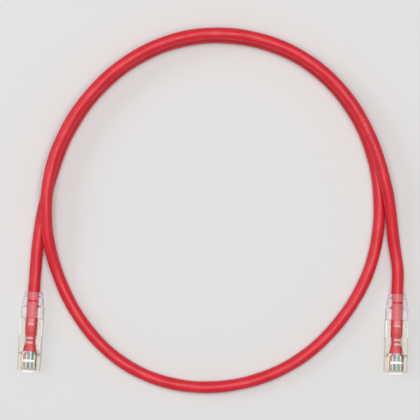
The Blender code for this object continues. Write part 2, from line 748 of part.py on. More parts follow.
def along_plug(side, distance, height):
    """A point on a plug's axis, this far back from its nose tip, in the whole cable's frame."""
    (x, y), lean = PLUG_PLACES[side]
    turn = math.radians(lean)
    return (x + distance * math.sin(turn), y + distance * math.cos(turn), height)


def route_points():
    """The cable's centre line from inside the left boot to inside the right one."""
    ends = {}
    for side in PLUG_PLACES:
        ends[side] = [
            along_plug(side, JACKET_SPLIT, AXIS_HEIGHT),
            along_plug(side, BOOT_TAIL, AXIS_HEIGHT),
            along_plug(side, BOOT_TAIL + 2 * CABLE_DIAMETER, (AXIS_HEIGHT + 3 * CABLE_RADIUS) / 4),
        ]
    rise = CABLE_DIAMETER + STRAND_GAP
    free = [(x, y, CABLE_RADIUS + lift * rise) for x, y, lift in ROUTE]
    return [*ends["left"], *free, *reversed(ends["right"])]


def spline_slopes(knots, values):
    """The second derivatives of the natural cubic spline through values at knots."""
    steps = np.diff(knots)
    rises = np.diff(values, axis=0) / steps[:, None]
    size = len(knots)
    system = np.eye(size)
    wanted = np.zeros_like(values)
    for i in range(1, size - 1):
        system[i, i - 1 : i + 2] = (steps[i - 1], 2 * (steps[i - 1] + steps[i]), steps[i])
        wanted[i] = 6 * (rises[i] - rises[i - 1])
    return np.linalg.solve(system, wanted)


def smooth_path(points, spacing):
    """Evenly spaced points on a smooth curve through points. It never dips under the lowest of them."""
    values = np.array(points, float)
    knots = np.concatenate([[0.0], np.cumsum(np.linalg.norm(np.diff(values, axis=0), axis=1))])
    bends = spline_slopes(knots, values)
    fine = []
    for i in range(len(knots) - 1):
        step = knots[i + 1] - knots[i]
        for share in np.linspace(0, 1, FINE_STEPS, endpoint=False):
            a, b = 1 - share, share
            curve = ((a**3 - a) * bends[i] + (b**3 - b) * bends[i + 1]) * step**2 / 6
            fine.append(a * values[i] + b * values[i + 1] + curve)
    fine = np.array([*fine, values[-1]])
    fine[:, 2] = np.maximum(fine[:, 2], values[:, 2].min())
    lengths = np.concatenate([[0.0], np.cumsum(np.linalg.norm(np.diff(fine, axis=0), axis=1))])
    count = round(lengths[-1] / spacing) + 1
    wanted = np.linspace(0, lengths[-1], count)
    return np.stack([np.interp(wanted, lengths, fine[:, axis]) for axis in range(3)], axis=1)


def main():
    clear_scene()
    red = principled("jacket_red", (0.66, 0.03, 0.05), 0.4)
    clear = principled("clear_polycarbonate", (0.86, 0.87, 0.85), 0.12, alpha=0.35)
    milky = principled("milky_boot", (0.86, 0.83, 0.83), 0.45, alpha=0.6)
    gold = principled("gold_plate", (0.83, 0.62, 0.25), 0.25, 1.0)
    white = principled("separator_white", (0.85, 0.85, 0.83), 0.5)
    colours = [principled(f"wire_{name}", colour, 0.45) for name, colour in WIRE_COLOURS]
    for side in PLUG_PLACES:
        place = add_plug_frame(side)
        add_housing(side, place, clear)
        add_latch(side, place, clear)
        add_snag_guard(side, place, clear)
        add_boot(side, place, milky)
        add_comb(side, place, clear)
        add_contacts(side, place, gold)
        add_wires(side, place, colours)
        add_jacket_end(side, place, red)
        add_separator(side, place, white)
    add_tube("cable_jacket", smooth_path(route_points(), POINT_SPACING), CABLE_RADIUS, red)


main()
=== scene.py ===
import math

import bmesh
import bpy
import numpy as np
from mathutils import Matrix, Vector


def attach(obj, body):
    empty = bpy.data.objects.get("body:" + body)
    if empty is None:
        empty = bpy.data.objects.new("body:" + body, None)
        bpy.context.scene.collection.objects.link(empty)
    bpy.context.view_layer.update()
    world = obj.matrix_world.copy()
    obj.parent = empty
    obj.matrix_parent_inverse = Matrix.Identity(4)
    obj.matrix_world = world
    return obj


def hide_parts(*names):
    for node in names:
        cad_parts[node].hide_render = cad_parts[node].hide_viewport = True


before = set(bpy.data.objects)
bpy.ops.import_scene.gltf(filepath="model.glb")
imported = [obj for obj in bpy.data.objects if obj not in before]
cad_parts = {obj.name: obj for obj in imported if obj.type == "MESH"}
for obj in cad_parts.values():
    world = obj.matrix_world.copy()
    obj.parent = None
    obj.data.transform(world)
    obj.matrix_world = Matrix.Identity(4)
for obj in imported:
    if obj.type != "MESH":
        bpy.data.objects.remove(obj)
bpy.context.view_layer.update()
mm = 0.001
sides = ("left", "right")

# ---- camera, floor and light
view = {
    "cameraPlace": (-0.00138, 0.06293, 1.2),  # straight above the loop
    "cameraLens": 201.2,
    "sensorWidth": 36.0,
    "clipRange": (0.05, 20.0),
    "floorSize": 6.0,
    "floorDrop": 0.1,  # mm under the object
    "floorColour": (0.66, 0.66, 0.655),
    "floorRoughness": 0.75,
    "skyColour": (1.0, 0.99, 0.975),
    "skyStrength": 0.30,
    "lampTarget": (0.0, 0.06, 0.0),
    "keyPlace": (0.05, 0.20, 1.7),
    "keySize": 1.3,
    "keyPower": 24.5,
    "sidePlace": (-1.5, 0.7, 1.0),
    "sideSize": 0.8,
    "sidePower": 7.0,
}


def addArea(name):
    lamp = bpy.data.lights.new(name + "Light", "AREA")
    lamp.shape = "DISK"
    lamp.size = view[name + "Size"]
    lamp.energy = view[name + "Power"]
    item = bpy.data.objects.new(name + "Light", lamp)
    item.location = view[name + "Place"]
    towards = Vector(view["lampTarget"]) - item.location
    item.rotation_euler = towards.to_track_quat("-Z", "Y").to_euler()
    bpy.context.scene.collection.objects.link(item)


def addStudio():
    camera = bpy.data.objects.new("camera", bpy.data.cameras.new("camera"))
    camera.data.lens = view["cameraLens"]
    camera.data.sensor_width = view["sensorWidth"]
    camera.data.clip_start, camera.data.clip_end = view["clipRange"]
    camera.location = view["cameraPlace"]
    bpy.context.scene.collection.objects.link(camera)
    bpy.context.scene.camera = camera
    bpy.context.scene.view_settings.view_transform = "Standard"

    world = bpy.data.worlds.new("studio")
    bpy.context.scene.world = world
    world.use_nodes = True
    sky = world.node_tree.nodes["Background"]
    sky.inputs["Color"].default_value = (*view["skyColour"], 1.0)
    sky.inputs["Strength"].default_value = view["skyStrength"]

    addArea("key")
    addArea("side")

    form = bmesh.new()
    bmesh.ops.create_grid(form, x_segments=1, y_segments=1, size=view["floorSize"] / 2)
    bmesh.ops.translate(form, verts=form.verts, vec=(0.0, 0.0, -view["floorDrop"] * mm))
    mesh = bpy.data.meshes.new("floor")
    form.to_mesh(mesh)
    form.free()
    floor = bpy.data.objects.new("floor", mesh)
    bpy.context.scene.collection.objects.link(floor)
    paint = bpy.data.materials.new("paleFloor")
    paint.use_nodes = True
    shader = paint.node_tree.nodes["Principled BSDF"]
    shader.inputs["Base Color"].default_value = (*view["floorColour"], 1.0)
    shader.inputs["Roughness"].default_value = view["floorRoughness"]
    mesh.materials.append(paint)


addStudio()
print("stage: camera, light and floor")


# ---- finishes: two shader groups, and the materials that place them
grainForm = {
    "coarseDetail": 3.0,
    "coarseRange": (0.3, 0.7),
    "finer": 6.0,  # the fine grain's scale against the coarse one's
    "fineDetail": 4.0,
    "fineRoughness": 0.65,
}
wearForm = {
    "patchDetail": 5.0,
    "patchDistortion": 0.8,
    "patchRange": (0.52, 0.72),
    "finer": 9.0,  # the specks' scale against the patches'
    "speckRange": (0.16, 0.05),
}
edgeForm = {"facingBlend": 0.5, "power": 2.4}


def addSocket(group, name, way, kind="NodeSocketFloat", value=None):
    made = group.interface.new_socket(name=name, in_out=way, socket_type=kind)
    if value is not None:
        made.default_value = value


def addSpread(nodes, ends):
    node = nodes.new("ShaderNodeMapRange")
    node.inputs["From Min"].default_value, node.inputs["From Max"].default_value = ends
    return node


def makeGrainGroup():
    group = bpy.data.node_groups.new("mouldedGrain", "ShaderNodeTree")
    addSocket(group, "Vector", "INPUT", "NodeSocketVector")
    addSocket(group, "Scale", "INPUT", value=900.0)
    addSocket(group, "Low", "INPUT", value=0.3)
    addSocket(group, "High", "INPUT", value=0.4)
    addSocket(group, "Value", "OUTPUT")
    addSocket(group, "Height", "OUTPUT")
    nodes, links = group.nodes, group.links
    inward, outward = nodes.new("NodeGroupInput"), nodes.new("NodeGroupOutput")
    coarse, fine = nodes.new("ShaderNodeTexNoise"), nodes.new("ShaderNodeTexNoise")
    coarse.inputs["Detail"].default_value = grainForm["coarseDetail"]
    fine.inputs["Detail"].default_value = grainForm["fineDetail"]
    fine.inputs["Roughness"].default_value = grainForm["fineRoughness"]
    larger = nodes.new("ShaderNodeMath")
    larger.operation = "MULTIPLY"
    larger.inputs[1].default_value = grainForm["finer"]
    spread = addSpread(nodes, grainForm["coarseRange"])
    links.new(inward.outputs["Vector"], coarse.inputs["Vector"])
    links.new(inward.outputs["Vector"], fine.inputs["Vector"])
    links.new(inward.outputs["Scale"], coarse.inputs["Scale"])
    links.new(inward.outputs["Scale"], larger.inputs[0])
    links.new(larger.outputs[0], fine.inputs["Scale"])
    links.new(coarse.outputs["Fac"], spread.inputs["Value"])
    links.new(inward.outputs["Low"], spread.inputs["To Min"])
    links.new(inward.outputs["High"], spread.inputs["To Max"])
    links.new(spread.outputs["Result"], outward.inputs["Value"])
    links.new(fine.outputs["Fac"], outward.inputs["Height"])
    return group


def makeWearGroup():
    group = bpy.data.node_groups.new("softWear", "ShaderNodeTree")
    addSocket(group, "Vector", "INPUT", "NodeSocketVector")
    addSocket(group, "Scale", "INPUT", value=200.0)
    addSocket(group, "Amount", "INPUT", value=0.5)
    addSocket(group, "Mask", "OUTPUT")
    nodes, links = group.nodes, group.links
    inward, outward = nodes.new("NodeGroupInput"), nodes.new("NodeGroupOutput")
    patches, specks = nodes.new("ShaderNodeTexNoise"), nodes.new("ShaderNodeTexVoronoi")
    patches.inputs["Detail"].default_value = wearForm["patchDetail"]
    patches.inputs["Distortion"].default_value = wearForm["patchDistortion"]
    finer = nodes.new("ShaderNodeMath")
    finer.operation = "MULTIPLY"
    finer.inputs[1].default_value = wearForm["finer"]
    rubbed = addSpread(nodes, wearForm["patchRange"])
    dotted = addSpread(nodes, wearForm["speckRange"])
    larger, scaled = nodes.new("ShaderNodeMath"), nodes.new("ShaderNodeMath")
    larger.operation = "MAXIMUM"
    scaled.operation = "MULTIPLY"
    links.new(inward.outputs["Vector"], patches.inputs["Vector"])
    links.new(inward.outputs["Vector"], specks.inputs["Vector"])
    links.new(inward.outputs["Scale"], patches.inputs["Scale"])
    links.new(inward.outputs["Scale"], finer.inputs[0])
    links.new(finer.outputs[0], specks.inputs["Scale"])
    links.new(patches.outputs["Fac"], rubbed.inputs["Value"])
    links.new(specks.outputs["Distance"], dotted.inputs["Value"])
    links.new(rubbed.outputs["Result"], larger.inputs[0])
    links.new(dotted.outputs["Result"], larger.inputs[1])
    links.new(larger.outputs[0], scaled.inputs[0])
    links.new(inward.outputs["Amount"], scaled.inputs[1])
    links.new(scaled.outputs[0], outward.inputs["Mask"])
    return group


grainGroup = makeGrainGroup()
wearGroup = makeWearGroup()


class Paint:
    def __init__(self, name):
        self.material = bpy.data.materials.new(name)
        self.material.use_nodes = True
        self.nodes = self.material.node_tree.nodes
        self.links = self.material.node_tree.links
        self.shader = self.nodes["Principled BSDF"]

    def fix(self, **values):
        for name, value in values.items():
            self.shader.inputs[name.replace("_", " ")].default_value = value

    def add(self, kind, **inputs):
        node = self.nodes.new("ShaderNode" + kind)
        for name, value in inputs.items():
            self.feed(node.inputs[name.replace("_", " ")], value)
        return node

    def feed(self, socket, value):
        if isinstance(value, bpy.types.NodeSocket):
            self.links.new(value, socket)
        else:
            socket.default_value = value

    def maths(self, operation, first, second=0.0, third=0.0, clamp=False):
        node = self.nodes.new("ShaderNodeMath")
        node.operation = operation
        node.use_clamp = clamp
        for socket, value in zip(node.inputs, (first, second, third)):
            self.feed(socket, value)
        return node.outputs[0]

    def mixColours(self, share, first, second):
        node = self.nodes.new("ShaderNodeMix")
        node.data_type = "RGBA"
        self.feed(node.inputs["Factor"], share)
        for socket, value in ((node.inputs[6], first), (node.inputs[7], second)):
            self.feed(socket, value if isinstance(value, bpy.types.NodeSocket) else (*value, 1.0))
        return node.outputs[2]

    def ranged(self, value, fromLow, fromHigh, toLow=0.0, toHigh=1.0):
        node = self.add("MapRange", Value=value, From_Min=fromLow, From_Max=fromHigh)
        node.interpolation_type = "SMOOTHSTEP"
        node.inputs["To Min"].default_value = toLow
        node.inputs["To Max"].default_value = toHigh
        return node.outputs["Result"]

    def grain(self, vector, scale, low, high):
        node = self.nodes.new("ShaderNodeGroup")
        node.node_tree = grainGroup
        for name, value in (("Vector", vector), ("Scale", scale), ("Low", low), ("High", high)):
            self.feed(node.inputs[name], value)
        return node.outputs

    def wear(self, vector, scale, amount):
        node = self.nodes.new("ShaderNodeGroup")
        node.node_tree = wearGroup
        for name, value in (("Vector", vector), ("Scale", scale), ("Amount", amount)):
            self.feed(node.inputs[name], value)
        return node.outputs["Mask"]

    def split(self, vector):
        return self.add("SeparateXYZ", Vector=vector).outputs

    def join(self, x=0.0, y=0.0, z=0.0):
        return self.add("CombineXYZ", X=x, Y=y, Z=z).outputs[0]

    def bump(self, height, strength, distance):
        node = self.add("Bump", Strength=strength, Distance=distance, Height=height)
        self.links.new(node.outputs["Normal"], self.shader.inputs["Normal"])

    def fromNearest(self, value):
        # how far a value is from the nearest whole number
        return self.maths("ABSOLUTE", self.maths("SUBTRACT", value, self.maths("ROUND", value)))

    def edged(self, alpha, edgeAlpha, edgeLoss):
        # a clear face gives way to its edges, where it turns from the eye
        facing = self.nodes.new("ShaderNodeLayerWeight")
        facing.inputs["Blend"].default_value = edgeForm["facingBlend"]
        edge = self.maths("POWER", facing.outputs["Facing"], edgeForm["power"])
        alpha = self.maths("MULTIPLY", alpha, self.maths("MULTIPLY_ADD", edge, edgeLoss, 1.0))
        return self.maths("MULTIPLY_ADD", edge, edgeAlpha, alpha, clamp=True)

    def finish(self, colour, roughness, alpha=None):
        self.feed(self.shader.inputs["Base Color"], colour)
        self.feed(self.shader.inputs["Roughness"], roughness)
        if alpha is not None:
            self.feed(self.shader.inputs["Alpha"], alpha)

    def object(self):
        return self.nodes.new("ShaderNodeTexCoord").outputs["Object"]

    def plan(self, name):
        node = self.nodes.new("ShaderNodeUVMap")
        node.uv_map = name
        return node.outputs["UV"]


jacketLook = {
    "red": (0.640, 0.0120, 0.0270),
    "deepRed": (0.575, 0.0085, 0.0200),
    "roughness": (0.40, 0.50),
    "grainScale": 160.0,
    "grainHeight": 0.5,
    "dragScale": (6.0, 42.0),  # along the jacket, and round it
    "dragDetail": 3.0,
    "dragHeight": 0.7,
    "bump": (0.25, 0.00006),  # strength, and distance in metres
    "dustScale": 70.0,
    "dustAmount": 0.25,
    "dustRoughness": 0.12,
    "ior": 1.5,
    "specular": 0.42,
    "print": (0.17, 0.016, 0.024),
    "printStrength": 0.55,
    "legendMiddle": 0.0,  # along the jacket in metres, set from the route below
    "legendLength": 0.075,
    "legendEvery": 0.61,
    "legendTurns": 3.2,  # how far round the jacket it wanders, in turns a metre
    "legendAngle": 0.26,
    "legendHalfHeight": 0.036,
    "barScale": 560.0,
    "barDetail": 1.0,
    "barEdge": (0.46, 0.54),
    "wordScale": 95.0,
    "wordDetail": 0.0,
    "wordEdge": (0.38, 0.44),
}


def makeJacketRed():
    paint = Paint("jacketRed")
    look = jacketLook
    low, high = look["roughness"]
    grain = paint.grain(paint.object(), look["grainScale"], low, high)
    split = paint.split(paint.plan("jacketPlan"))
    along, around = split[0], split[1]

    # fine drag lines from the extruder, long along the jacket and narrow round it
    slow, quick = look["dragScale"]
    stretched = paint.maths("MULTIPLY", along, slow), paint.maths("MULTIPLY", around, quick)
    lines = paint.join(*stretched)
    drag = paint.add("TexNoise", Vector=lines, Scale=1.0, Detail=look["dragDetail"])
    fine = paint.maths("MULTIPLY", grain["Height"], look["grainHeight"])
    height = paint.maths("MULTIPLY_ADD", drag.outputs["Fac"], look["dragHeight"], fine)
    paint.bump(height, *look["bump"])

    # a legend of plain bars, with no letters in it
    place = paint.maths("SUBTRACT", along, look["legendMiddle"])
    turn = paint.maths("MULTIPLY_ADD", place, look["legendTurns"], look["legendAngle"])
    off = paint.fromNearest(paint.maths("SUBTRACT", around, turn))
    band = paint.maths("LESS_THAN", off, look["legendHalfHeight"])
    repeated = paint.maths("PINGPONG", place, look["legendEvery"] / 2)
    within = paint.maths("LESS_THAN", repeated, look["legendLength"] / 2)
    ink = 1.0
    for kind in ("bar", "word"):
        vector = paint.join(paint.maths("MULTIPLY", along, look[kind + "Scale"]))
        noise = paint.add("TexNoise", Vector=vector, Scale=1.0, Detail=look[kind + "Detail"])
        marks = paint.ranged(noise.outputs["Fac"], *look[kind + "Edge"])
        ink = paint.maths("MULTIPLY", ink, marks)
    for share in (band, within, look["printStrength"]):
        ink = paint.maths("MULTIPLY", ink, share)

    dust = paint.wear(paint.object(), look["dustScale"], look["dustAmount"])
    body = paint.mixColours(paint.ranged(grain["Value"], low, high), look["red"], look["deepRed"])
    rough = paint.maths("MULTIPLY_ADD", dust, look["dustRoughness"], grain["Value"])
    paint.finish(paint.mixColours(ink, body, look["print"]), rough)
    paint.fix(IOR=look["ior"], Specular_IOR_Level=look["specular"])
    return paint.material


clearLook = {
    "colour": (0.82, 0.81, 0.78),
    "paleColour": (0.88, 0.87, 0.85),
    "wallColour": (0.42, 0.375, 0.31),
    "paleWallColour": (0.50, 0.455, 0.385),
    "frostAndHighlightColour": (0.88, 0.88, 0.88),
    "alpha": 0.014,  # of each face, looked at squarely
    "wallAlpha": 0.66,
    # where the wall begins out from the plug's middle, in mm: beside the conductors, and
    # beside the jacket, and between which two places along the plug it changes
    "wallBegins": (3.75, 2.95),
    "wallTurns": (10.5, 13.5),
    "wallBlend": 0.55,
    "roughness": (0.07, 0.17),
    "grainScale": 260.0,
    "scuffScale": 240.0,
    "scuffAmount": 0.6,
    "scuffAlpha": 0.03,
    "scuffRoughness": 0.2,
    "edgeLoss": -0.6,  # of a face's own alpha, where it turns from the eye
    "edgeAlpha": {"housing": 0.26, "latch": 0.4, "guard": 0.4, "comb": 0.03},
    "bump": (0.12, 0.00004),
    "ior": 1.58,
    "bandBlend": 0.12,
    "frostAndHighlightRoughness": 0.15,
    # frosted bands and bands of painted highlight: across the plug from its middle, along it and
    # up, low to high in mm, then its alpha and how white it is
    "frostsAndHighlights": {
        "housing": (
            ((-1.0, 3.3), (-1.0, 1.35), (-1.0, 15.0), 0.35, 0.0),
            ((-1.0, 1.65), (26.0, 28.3), (7.5, 15.0), 0.18, 0.4),
            # painted highlight: a white streak along the housing's top side edges near the rear
            ((5.35, 7.0), (19.5, 28.0), (7.55, 15.0), 0.9, 1.0),
        ),
        "latch": (
            # painted highlight: a white bar across the latch's shoulders
            ((-1.0, 4.0), (5.95, 7.2), (-1.0, 15.0), 0.70, 0.9),
            # painted reflection: a pale bar over the crimp
            ((-1.0, 4.0), (17.75, 18.9), (-1.0, 15.0), 0.20, 0.6),
            ((-1.0, 4.0), (-1.0, 11.6), (-1.0, 15.0), 0.12, 0.5),
        ),
        "guard": (
            # painted reflection in the first band: a pale bar over the crimp
            ((-1.0, 4.0), (15.2, 16.5), (-1.0, 15.0), 0.17, 0.6),
            ((-1.0, 4.0), (24.6, 26.0), (-1.0, 15.0), 0.18, 0.5),
        ),
        "comb": (),
    },
}


def makeClear(kind, walls=False):
    paint = Paint("clear" + kind.title())
    look = clearLook
    grain = paint.grain(paint.object(), look["grainScale"], *look["roughness"])
    split = paint.split(paint.plan("plugPlan"))
    out, along = paint.maths("ABSOLUTE", split[0]), split[1]
    up = paint.maths("MULTIPLY", paint.split(paint.object())[2], 1 / mm)
    alpha, white = look["alpha"], 0.0
    colour = paint.mixColours(grain["Height"], look["colour"], look["paleColour"])
    if walls:
        begins = paint.ranged(along, *look["wallTurns"], *look["wallBegins"])
        wall = paint.ranged(paint.maths("SUBTRACT", out, begins), 0.0, look["wallBlend"])
        alpha = paint.maths("MULTIPLY_ADD", wall, look["wallAlpha"] - look["alpha"], alpha)
        cloudy = paint.mixColours(grain["Height"], look["wallColour"], look["paleWallColour"])
        colour = paint.mixColours(wall, colour, cloudy)

    # the bands raise the alpha and whiten the face: some are frost, others are painted highlights
    # and painted reflections
    blend = look["bandBlend"]
    for *spans, strength, whiteness in look["frostsAndHighlights"][kind]:
        band = 1.0
        for value, (begin, end) in zip((out, along, up), spans):
            rising = paint.ranged(value, begin - blend, begin + blend)
            falling = paint.ranged(value, end - blend, end + blend, 1.0, 0.0)
            band = paint.maths("MULTIPLY", band, paint.maths("MULTIPLY", rising, falling))
        alpha = paint.maths("MAXIMUM", alpha, paint.maths("MULTIPLY", band, strength))
        white = paint.maths("MAXIMUM", white, paint.maths("MULTIPLY", band, whiteness))

    alpha = paint.edged(alpha, look["edgeAlpha"][kind], look["edgeLoss"])
    scuffs = paint.wear(paint.object(), look["scuffScale"], look["scuffAmount"])
    alpha = paint.maths("MULTIPLY_ADD", scuffs, look["scuffAlpha"], alpha, clamp=True)
    rough = paint.maths("MULTIPLY_ADD", scuffs, look["scuffRoughness"], grain["Value"])
    rough = paint.maths("MULTIPLY_ADD", white, look["frostAndHighlightRoughness"], rough)
    paint.finish(paint.mixColours(white, colour, look["frostAndHighlightColour"]), rough, alpha)
    paint.bump(grain["Height"], *look["bump"])
    paint.fix(IOR=look["ior"])
    return paint.material


bootLook = {
    "colour": (0.69, 0.625, 0.645),
    "veins": (0.63, 0.56, 0.58),
    "alpha": (0.09, 0.74),  # of each face: over the cable, and where the boot is solid
    "veinAlpha": 0.03,
    "solidBegins": (2.75, 3.3),  # from the plug's middle, in mm
    "edgeLoss": -0.5,
    "edgeAlpha": 0.22,
    "roughness": (0.34, 0.48),
    "grainScale": 320.0,
    "dustScale": 150.0,
    "dustAmount": 0.5,
    "dustRoughness": 0.2,
    "bump": (0.3, 0.00005),
    "ior": 1.48,
}


def makeMilky():
    paint = Paint("milkyBoot")
    look = bootLook
    low, high = look["roughness"]
    grain = paint.grain(paint.object(), look["grainScale"], low, high)
    out = paint.maths("ABSOLUTE", paint.split(paint.plan("plugPlan"))[0])
    alpha = paint.ranged(out, *look["solidBegins"], *look["alpha"])
    alpha = paint.edged(alpha, look["edgeAlpha"], look["edgeLoss"])
    share = paint.ranged(grain["Value"], low, high)
    alpha = paint.maths("MULTIPLY_ADD", share, look["veinAlpha"], alpha, clamp=True)
    dust = paint.wear(paint.object(), look["dustScale"], look["dustAmount"])
    rough = paint.maths("MULTIPLY_ADD", dust, look["dustRoughness"], grain["Value"])
    paint.finish(paint.mixColours(share, look["colour"], look["veins"]), rough, alpha)
    paint.bump(grain["Height"], *look["bump"])
    paint.fix(IOR=look["ior"])
    return paint.material


solidLook = {
    "wearFiner": 0.5,  # its scale against the grain's
    "wearAmount": 0.5,
    "wearRoughness": 0.15,
    "bumpDistance": 0.00003,
    # two colours, roughness, grain scale, bump strength and metallic
    "goldPlate": ((0.88, 0.62, 0.24), (0.70, 0.46, 0.18), (0.16, 0.34), 700.0, 0.2, 1.0),
    "copperCore": ((0.85, 0.42, 0.25), (0.66, 0.30, 0.18), (0.22, 0.42), 800.0, 0.3, 1.0),
    "separatorWhite": ((0.82, 0.82, 0.80), (0.72, 0.71, 0.68), (0.42, 0.6), 420.0, 0.25, 0.0),
}


def makeSolid(name):
    first, second, roughness, scale, bump, metallic = solidLook[name]
    paint = Paint(name)
    grain = paint.grain(paint.object(), scale, *roughness)
    share = paint.ranged(grain["Value"], *roughness)
    marks = paint.wear(paint.object(), scale * solidLook["wearFiner"], solidLook["wearAmount"])
    rough = paint.maths("MULTIPLY_ADD", marks, solidLook["wearRoughness"], grain["Value"])
    paint.finish(paint.mixColours(share, first, second), rough)
    paint.bump(grain["Height"], bump, solidLook["bumpDistance"])
    paint.fix(Metallic=metallic)
    return paint.material


wireLook = {
    "white": (0.82, 0.81, 0.78),
    "orange": (0.82, 0.25, 0.03),
    "green": (0.02, 0.30, 0.10),
    "blue": (0.03, 0.12, 0.42),
    "brown": (0.20, 0.085, 0.04),
    "order": (
        "white orange", "orange", "white green", "blue",
        "white blue", "green", "white brown", "brown",
    ),
    "tired": 0.84,  # the darker patches, against the colour itself
    "roughness": (0.26, 0.40),
    "grainScale": 500.0,
    "bump": (0.15, 0.00003),
    "stripeHalfWidth": 0.12,  # in turns round the conductor
    "stripeTurns": 55.0,  # turns a metre
}


def makeWire(words):
    parts = words.split()
    paint = Paint("wire" + "".join(part.title() for part in parts))
    low, high = wireLook["roughness"]
    grain = paint.grain(paint.object(), wireLook["grainScale"], low, high)
    base = wireLook[parts[0]]
    tired = tuple(wireLook["tired"] * channel for channel in base)
    colour = paint.mixColours(paint.ranged(grain["Value"], low, high), base, tired)
    if len(parts) == 2:
        split = paint.split(paint.plan("wirePlan"))
        turn = paint.maths("MULTIPLY_ADD", split[0], wireLook["stripeTurns"], split[1])
        stripe = paint.maths("LESS_THAN", paint.fromNearest(turn), wireLook["stripeHalfWidth"])
        colour = paint.mixColours(stripe, colour, wireLook[parts[1]])
    paint.finish(colour, grain["Value"])
    paint.bump(grain["Height"], *wireLook["bump"])
    return paint.material


clearHousing = makeClear("housing", walls=True)
clearLatch = makeClear("latch")
clearGuard = makeClear("guard")
clearComb = makeClear("comb")
milky = makeMilky()
gold = makeSolid("goldPlate")
copper = makeSolid("copperCore")
separatorWhite = makeSolid("separatorWhite")
wires = [makeWire(words) for words in wireLook["order"]]
print("stage: finishes")


# ---- the cable: the route is the solid's own
cable = {
    "diameter": 6.1,
    "strandGap": 0.35,
    "axisHeight": 4.0,
    # nose tip, and lean in degrees
    "plugs": {"left": ((-93.9, -20.1), 3.95), "right": ((93.0, -21.2), 1.4)},
    "collarEnd": 32.6,
    "split": 33.4,
    "tail": 41.5,
    "step": 0.6,
    "curveSteps": 24,  # between two points of the route
    "bevelResolution": 14,
    "smoothAngle": 50,
    "pairs": 4,
    "pairPitch": 96.0,  # one turn of the pairs under the jacket
    "pairHeight": 0.045,
    "pairFade": 12.0,
    "twistPitch": 13.0,
    "twistHeight": 0.012,
    "socketDepth": 2.4,
    "wallThickness": 0.5,
    "legendPlace": (79.5, 91.0),
}
route = (
    (-89.0, 47.0, 0.0), (-86.5, 62.5, 0.0), (-83.0, 77.0, 0.0), (-78.5, 91.0, 0.0),
    (-64.5, 116.5, 0.0), (-43.0, 137.0, 0.0), (-15.5, 149.0, 0.0), (15.0, 150.0, 0.0),
    (44.0, 140.0, 0.0), (67.0, 119.5, 0.0), (81.0, 92.0, 0.0), (85.0, 62.0, 0.0),
    (80.0, 33.0, 0.0), (65.5, 7.0, 0.0), (43.0, -14.0, 0.0), (15.0, -25.5, 0.0),
    (-16.0, -26.5, 0.0), (-45.0, -15.5, 0.0), (-67.0, 6.5, 0.0), (-74.5, 19.5, 0.0),
    (-80.0, 33.5, 0.15), (-83.5, 48.0, 0.66), (-84.5, 62.5, 0.99), (-83.5, 77.0, 1.0),
    (-79.8, 91.5, 1.0), (-65.5, 117.5, 1.0), (-44.0, 138.0, 1.0), (-16.0, 150.5, 1.0),
    (15.5, 151.5, 1.0), (45.0, 141.0, 1.0), (68.5, 120.0, 1.0), (83.0, 92.5, 1.0),
    (87.5, 77.5, 0.9), (90.5, 62.0, 0.52), (92.5, 45.5, 0.1),
)  # x and y in mm, and how high it rides: 0 on the floor, 1 on another strand
endShape = (
    # from the nose tip, half width, half height, lift: the jacket as crimped in the plug
    (11.2, 3.40, 2.50, 0.0), (11.32, 3.50, 2.60, 0.0), (12.6, 3.32, 2.57, 0.0),
    (14.1, 3.0, 2.5, 0.0), (15.2, 2.40, 2.32, 0.22), (15.6, 2.35, 2.30, 0.25),
    (18.4, 2.35, 2.30, 0.25), (18.8, 2.42, 2.32, 0.22), (19.8, 2.95, 2.60, 0.0),
    (21.0, 3.05, 3.05, 0.0), (34.0, 3.05, 3.05, 0.0),
)
radius = cable["diameter"] / 2


def alongPlug(side, distance, height, across=0.0):
    (x, y), lean = cable["plugs"][side]
    turn = math.radians(lean)
    return (
        x + distance * math.sin(turn) + across * math.cos(turn),
        y + distance * math.cos(turn) - across * math.sin(turn),
        height,
    )


def routePoints():
    ends = {}
    height = cable["axisHeight"]
    for side in sides:
        ends[side] = [
            alongPlug(side, cable["split"], height),
            alongPlug(side, cable["tail"], height),
            alongPlug(side, cable["tail"] + 2 * cable["diameter"], (height + 3 * radius) / 4),
        ]
    rise = cable["diameter"] + cable["strandGap"]
    free = [(x, y, radius + lift * rise) for x, y, lift in route]
    return [*ends["left"], *free, *reversed(ends["right"])]


def lengthsOf(line):
    return np.concatenate([[0.0], np.cumsum(np.linalg.norm(np.diff(line, axis=0), axis=1))])


def evenly(points, step):
    lengths = lengthsOf(points)
    places = np.linspace(0, lengths[-1], round(lengths[-1] / step) + 1)
    return np.stack([np.interp(places, lengths, points[:, axis]) for axis in range(3)], axis=1)


def smoothLine(points):
    # a natural cubic spline through the points
    values = np.array(points, float)
    knots = lengthsOf(values)
    gaps = np.diff(knots)
    rises = np.diff(values, axis=0) / gaps[:, None]
    system, wanted = np.eye(len(knots)), np.zeros_like(values)
    for i in range(1, len(knots) - 1):
        system[i, i - 1 : i + 2] = (gaps[i - 1], 2 * (gaps[i - 1] + gaps[i]), gaps[i])
        wanted[i] = 6 * (rises[i] - rises[i - 1])
    bends = np.linalg.solve(system, wanted)
    fine = []
    for i in range(len(gaps)):
        for share in np.linspace(0, 1, cable["curveSteps"], endpoint=False):
            a, b = 1 - share, share
            curve = ((a**3 - a) * bends[i] + (b**3 - b) * bends[i + 1]) * gaps[i] ** 2 / 6
            fine.append(a * values[i] + b * values[i + 1] + curve)
    fine = np.array([*fine, values[-1]])
    fine[:, 2] = np.maximum(fine[:, 2], values[:, 2].min())
    return fine


def jacketLine():
    # the whole jacket, cut end to cut end
    line = smoothLine(routePoints())
    cut = endShape[0][0]
    starts = {side: np.array(alongPlug(side, cut, cable["axisHeight"])) for side in sides}
    line = np.concatenate([[starts["left"]], line, [starts["right"]]])
    return evenly(line, cable["step"])


